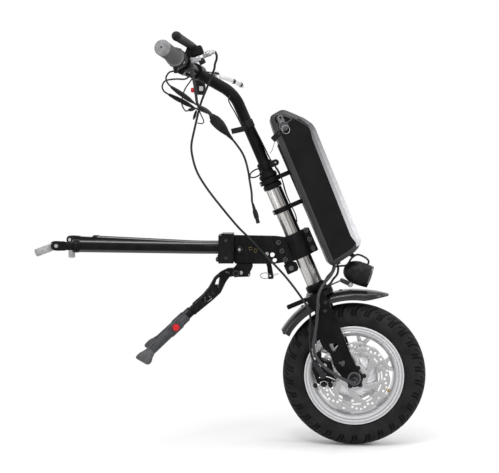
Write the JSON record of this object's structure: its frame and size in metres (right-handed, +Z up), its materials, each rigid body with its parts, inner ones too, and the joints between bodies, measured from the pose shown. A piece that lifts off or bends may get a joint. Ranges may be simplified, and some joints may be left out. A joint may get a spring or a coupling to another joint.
{
  "type": "electric wheelchair attachment",
  "caption": "Clip-on powered front wheel for a wheelchair: hub-motor wheel in a steered fork, battery column, bent handlebar stem, telescoping coupling arms and folding stand.",
  "frame": {"origin": "middle of the part's box at floor level, under the coupling, with the wheel's tyre touching the floor", "axes": "+X forward to the steered wheel, +Y to the unit's left (the side away from the camera), +Z up"},
  "size_m": [0.8407, 0.5572, 0.8893],
  "materials": {
    "battery_plastic": "satin textured case",
    "black_anodised": "black anodised satin",
    "black_paint": "black satin powder coat",
    "black_plastic": "moulded black",
    "black_steel": "black oxide",
    "bright_steel": "polished",
    "brushed_silver": "brushed",
    "cable_black": "smooth sheath",
    "cast_silver": "silver paint on casting",
    "clear_lens": "clear moulded lens",
    "disc_steel": "turned",
    "grip_grey": "soft textured rubber",
    "peg_grey": "matte",
    "rubber": "matte",
    "signal_red": "glossy red",
    "stand_grey": "dark grey satin paint",
    "tyre_rubber": "matte tread rubber"
  },
  "bodies": {
    "wheelchair_side": {"arm_carrier": "black_anodised", "arm_tube_near": "black_paint", "arm_tube_far": "black_paint"},
    "insert_near": {"arm_insert_near": "black_paint"},
    "peg_near": {"support_peg_near": "peg_grey"},
    "insert_far": {"arm_insert_far": "black_paint"},
    "peg_far": {"support_peg_far": "peg_grey"},
    "column": {"coupling_plate_near": "black_anodised", "coupling_plate_far": "black_anodised", "tilt_bolt": "black_steel", "wire_anchor": "black_anodised", "stand_mount": "stand_grey", "head_tube": "brushed_silver", "headset_lower": "black_anodised", "headset_upper": "black_anodised", "battery_cradle": "black_anodised", "battery_case": "battery_plastic"},
    "key": {"battery_key": "bright_steel"},
    "release": {"release_lever": "black_paint", "release_ring": "bright_steel"},
    "stand": {"stand_leg_near": "stand_grey", "stand_leg_far": "stand_grey"},
    "stand_slide_near": {"stand_tube_near": "stand_grey", "stand_foot_near": "rubber"},
    "stand_slide_far": {"stand_tube_far": "stand_grey", "stand_foot_far": "rubber"},
    "stand_catch_near": {"stand_button_near": "signal_red"},
    "stand_catch_far": {"stand_button_far": "signal_red"},
    "steering": {"fork_crown": "black_paint", "fork_leg_near": "black_paint", "fork_leg_far": "black_paint", "axle": "black_steel", "fender": "black_plastic", "stem_collar": "black_anodised", "lamp_bracket": "black_steel", "brake_calliper": "black_anodised", "brake_cable": "cable_black", "motor_cable": "cable_black"},
    "lamp": {"lamp_shell": "black_plastic", "lamp_lens": "clear_lens"},
    "calliper_lever": {"calliper_arm": "bright_steel"},
    "wheel": {"tyre": "tyre_rubber", "rim": "cast_silver", "motor_cover": "cast_silver", "brake_disc": "disc_steel"},
    "bar": {"stem_tube": "black_paint", "handlebar": "black_paint", "fixed_grip": "grip_grey", "throttle_housing": "black_plastic", "brake_perch_near": "black_anodised", "brake_perch_far": "black_anodised", "switch_pod": "black_plastic", "throttle_lead": "cable_black", "lead_junction": "black_plastic", "hanging_cord": "cable_black", "cord_plug": "black_plastic"},
    "throttle": {"throttle_grip": "grip_grey"},
    "lever_near": {"brake_lever_near": "rubber"},
    "lever_far": {"brake_lever_far": "bright_steel"},
    "horn": {"horn_button": "signal_red"}
  },
  "joints": [
    {"name": "coupling_tilt", "type": "hinge", "parent": "wheelchair_side", "child": "column", "pos_m": [0.0027, 0, 0.44], "axis": [0, -1, 0], "range_deg": [0, 20]},
    {"name": "arm_length_near", "type": "slide", "parent": "wheelchair_side", "child": "insert_near", "axis": [-0.9331, -0.3582, 0.0314], "range_m": [-0.016, 0.045]},
    {"name": "arm_length_far", "type": "slide", "parent": "wheelchair_side", "child": "insert_far", "axis": [-0.9331, 0.3582, 0.0314], "range_m": [-0.038, 0.045]},
    {"name": "peg_turn_near", "type": "hinge", "parent": "insert_near", "child": "peg_near", "pos_m": [-0.38036, -0.15961, 0.45479], "axis": [0.3584, -0.9336, 0], "range_deg": [-20, 70]},
    {"name": "peg_turn_far", "type": "hinge", "parent": "insert_far", "child": "peg_far", "pos_m": [-0.40266, 0.16817, 0.45554], "axis": [-0.3584, -0.9336, 0], "range_deg": [-90, 0]},
    {"name": "key_turn", "type": "hinge", "parent": "column", "child": "key", "pos_m": [0.10015, 0, 0.71187], "axis": [0, 1, 0], "range_deg": [0, 90]},
    {"name": "release", "type": "hinge", "parent": "column", "child": "release", "pos_m": [0.0644, 0, 0.4303], "axis": [0, 1, 0], "range_deg": [0, 35], "stiffness_Nm_per_rad": 0.5, "springref_deg": -17.19},
    {"name": "stand_fold", "type": "hinge", "parent": "column", "child": "stand", "pos_m": [-0.0046, 0, 0.388], "axis": [0, -1, 0], "range_deg": [0, 55]},
    {"name": "stand_length_near", "type": "slide", "parent": "stand", "child": "stand_slide_near", "axis": [-0.7064, -0.2588, -0.6588], "range_m": [-0.012, 0.05]},
    {"name": "stand_length_far", "type": "slide", "parent": "stand", "child": "stand_slide_far", "axis": [-0.7064, 0.2588, -0.6588], "range_m": [-0.012, 0.05]},
    {"name": "stand_catch_near", "type": "slide", "parent": "stand_slide_near", "child": "stand_catch_near", "axis": [-0.1893, 0.9659, -0.1765], "range_m": [0, 0.0012], "stiffness_N_per_m": 300, "springref_m": -0.003},
    {"name": "stand_catch_far", "type": "slide", "parent": "stand_slide_far", "child": "stand_catch_far", "axis": [-0.1893, -0.9659, -0.1765], "range_m": [0, 0.0012], "stiffness_N_per_m": 300, "springref_m": -0.003},
    {"name": "steer", "type": "hinge", "parent": "column", "child": "steering", "pos_m": [0.2604, 0, 0.16], "axis": [-0.3987, 0, 0.9171], "range_deg": [-30, 40], "deforming": ["brake_cable", "motor_cable"]},
    {"name": "wheel_spin", "type": "hinge", "parent": "steering", "child": "wheel", "pos_m": [0.2604, 0, 0.16], "axis": [0.0799, 0.9962, 0.0348], "continuous": true},
    {"name": "lamp_tilt", "type": "hinge", "parent": "steering", "child": "lamp", "pos_m": [0.25126, -0.00631, 0.3619], "axis": [0.0799, 0.9962, 0.0348], "range_deg": [-10, 8]},
    {"name": "calliper_pull", "type": "hinge", "parent": "steering", "child": "calliper_lever", "pos_m": [0.18717, -0.05534, 0.16523], "axis": [0.0799, 0.9962, 0.0348], "range_deg": [0, 7.2]},
    {"name": "bar_height", "type": "slide", "parent": "steering", "child": "bar", "axis": [-0.3987, 0, 0.9171], "range_m": [0, 0.04], "deforming": ["brake_cable"]},
    {"name": "throttle_twist", "type": "hinge", "parent": "bar", "child": "throttle", "pos_m": [-0.12752, -0.18246, 0.84393], "axis": [-0.2303, -0.9698, 0.0801], "range_deg": [0, 60], "stiffness_Nm_per_rad": 0.15, "springref_deg": -28.65},
    {"name": "brake_near", "type": "hinge", "parent": "bar", "child": "lever_near", "pos_m": [-0.0946, -0.11527, 0.87462], "axis": [0.8786, -0.2426, -0.4113], "range_deg": [0, 4], "stiffness_Nm_per_rad": 1, "springref_deg": -11.46},
    {"name": "brake_far", "type": "hinge", "parent": "bar", "child": "lever_far", "pos_m": [-0.05259, 0.12843, 0.84199], "axis": [0.1283, -0.1382, 0.9821], "range_deg": [0, 30], "stiffness_Nm_per_rad": 0.6, "springref_deg": -17.19},
    {"name": "horn_press", "type": "slide", "parent": "bar", "child": "horn", "axis": [0.9988, 0.0467, 0.0153], "range_m": [0, 0.0015], "stiffness_N_per_m": 300, "springref_m": -0.003}
  ],
  "couplings": [
    {"joint": "calliper_pull", "follows": "brake_near", "ratio": 1.8}
  ]
}
